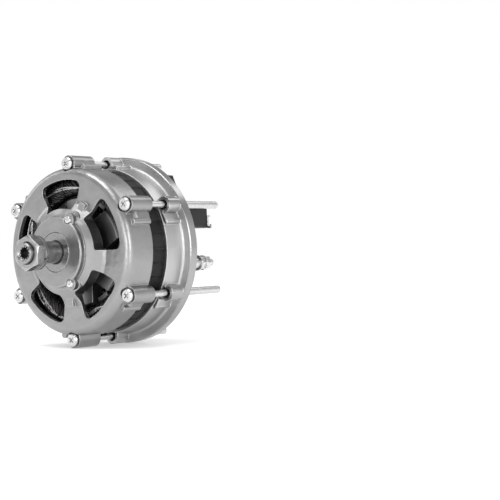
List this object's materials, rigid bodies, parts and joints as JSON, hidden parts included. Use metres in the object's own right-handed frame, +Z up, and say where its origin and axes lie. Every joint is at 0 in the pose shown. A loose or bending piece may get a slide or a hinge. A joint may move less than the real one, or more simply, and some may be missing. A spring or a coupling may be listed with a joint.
{
  "type": "engine alternator",
  "caption": "Round flange-mounted claw-pole alternator with windowed front case, threaded shaft end, through bolts that form mounting studs, and an open rear with regulator and rectifier block.",
  "frame": {"origin": "on the shaft axis, in the rear face of the round mounting flange", "axes": "+Z up, the shaft along Y with its threaded end towards -Y, the mounting studs towards +Y, +X to the right seen from the front"},
  "size_m": [0.15, 0.1635, 0.15],
  "materials": {
    "cast_aluminium": "fine cast surface",
    "turned_aluminium": "cast wall with a turned mounting ring",
    "black_core": "black varnished laminations",
    "enamelled_copper": "dark varnished copper",
    "zinc_steel": "bright zinc plate",
    "bare_steel": "ground steel",
    "dark_steel": "spring steel, oiled",
    "pole_iron": "forged iron",
    "black_rubber": "matt",
    "black_plastic": "moulded",
    "grey_plastic": "moulded, light grey",
    "white_plastic": "moulded cap",
    "copper": "turned copper",
    "carbon": "graphite",
    "anodised_grey": "matt grey",
    "tinned_steel": "tinned",
    "white_insulation": "smooth wire covering"
  },
  "bodies": {
    "body": {"front_case": "cast_aluminium", "rear_case": "turned_aluminium", "stator_core": "black_core", "stator_windings": "enamelled_copper", "through_bolts": "zinc_steel", "front_race_outer": "bare_steel", "front_seals": "black_rubber", "bearing_retainer": "bare_steel", "retainer_screws": "zinc_steel", "rear_race_outer": "bare_steel", "brush_holder": "grey_plastic", "spring_inner": "bare_steel", "spring_outer": "bare_steel", "rear_cap": "white_plastic", "regulator": "anodised_grey", "regulator_cover": "anodised_grey", "regulator_rivet": "zinc_steel", "regulator_tab": "tinned_steel", "regulator_screws": "zinc_steel", "rectifier_block": "black_plastic", "heat_sink": "tinned_steel", "positive_diodes": "zinc_steel", "negative_diodes": "zinc_steel", "phase_terminals": "tinned_steel", "phase_leads": "enamelled_copper", "block_tabs": "tinned_steel", "block_screws": "zinc_steel", "battery_stud": "zinc_steel", "battery_sleeve": "zinc_steel", "battery_nuts": "zinc_steel", "battery_strap": "tinned_steel", "side_post": "black_plastic", "side_bracket": "tinned_steel", "side_rivet": "zinc_steel", "round_insulator": "black_plastic", "round_terminal": "zinc_steel", "blade_terminals": "tinned_steel", "earth_pad": "tinned_steel", "earth_screw": "zinc_steel", "lead_a": "white_insulation", "lead_b": "white_insulation"},
    "rotor": {"shaft": "bare_steel", "spacer_ring": "bare_steel", "lock_washer": "dark_steel", "shaft_nut": "zinc_steel", "front_race_inner": "bare_steel", "rear_race_inner": "bare_steel", "front_pole": "pole_iron", "rear_pole": "pole_iron", "rotor_core": "pole_iron", "field_bobbin": "black_plastic", "field_coil": "enamelled_copper", "slip_sleeve": "black_plastic", "slip_rings": "copper"},
    "front_ball_set": {"front_balls": "bare_steel"},
    "rear_ball_set": {"rear_balls": "bare_steel"},
    "inner_brush": {"brush_inner": "carbon"},
    "outer_brush": {"brush_outer": "carbon"}
  },
  "joints": [
    {"name": "rotor_spin", "type": "hinge", "parent": "body", "child": "rotor", "pos_m": [0, 0, 0], "axis": [0, -1, 0], "continuous": true},
    {"name": "front_cage_spin", "type": "hinge", "parent": "body", "child": "front_ball_set", "pos_m": [0, 0, 0], "axis": [0, -1, 0], "continuous": true},
    {"name": "rear_cage_spin", "type": "hinge", "parent": "body", "child": "rear_ball_set", "pos_m": [0, 0, 0], "axis": [0, -1, 0], "continuous": true},
    {"name": "inner_brush_slide", "type": "slide", "parent": "body", "child": "inner_brush", "axis": [0, 0, -1], "range_m": [0, 0.003], "stiffness_N_per_m": 250, "springref_m": -0.008, "deforming": ["spring_inner"]},
    {"name": "outer_brush_slide", "type": "slide", "parent": "body", "child": "outer_brush", "axis": [0, 0, -1], "range_m": [0, 0.003], "stiffness_N_per_m": 250, "springref_m": -0.008, "deforming": ["spring_outer"]}
  ],
  "couplings": [
    {"joint": "front_cage_spin", "follows": "rotor_spin", "ratio": 0.376},
    {"joint": "rear_cage_spin", "follows": "rotor_spin", "ratio": 0.394}
  ]
}
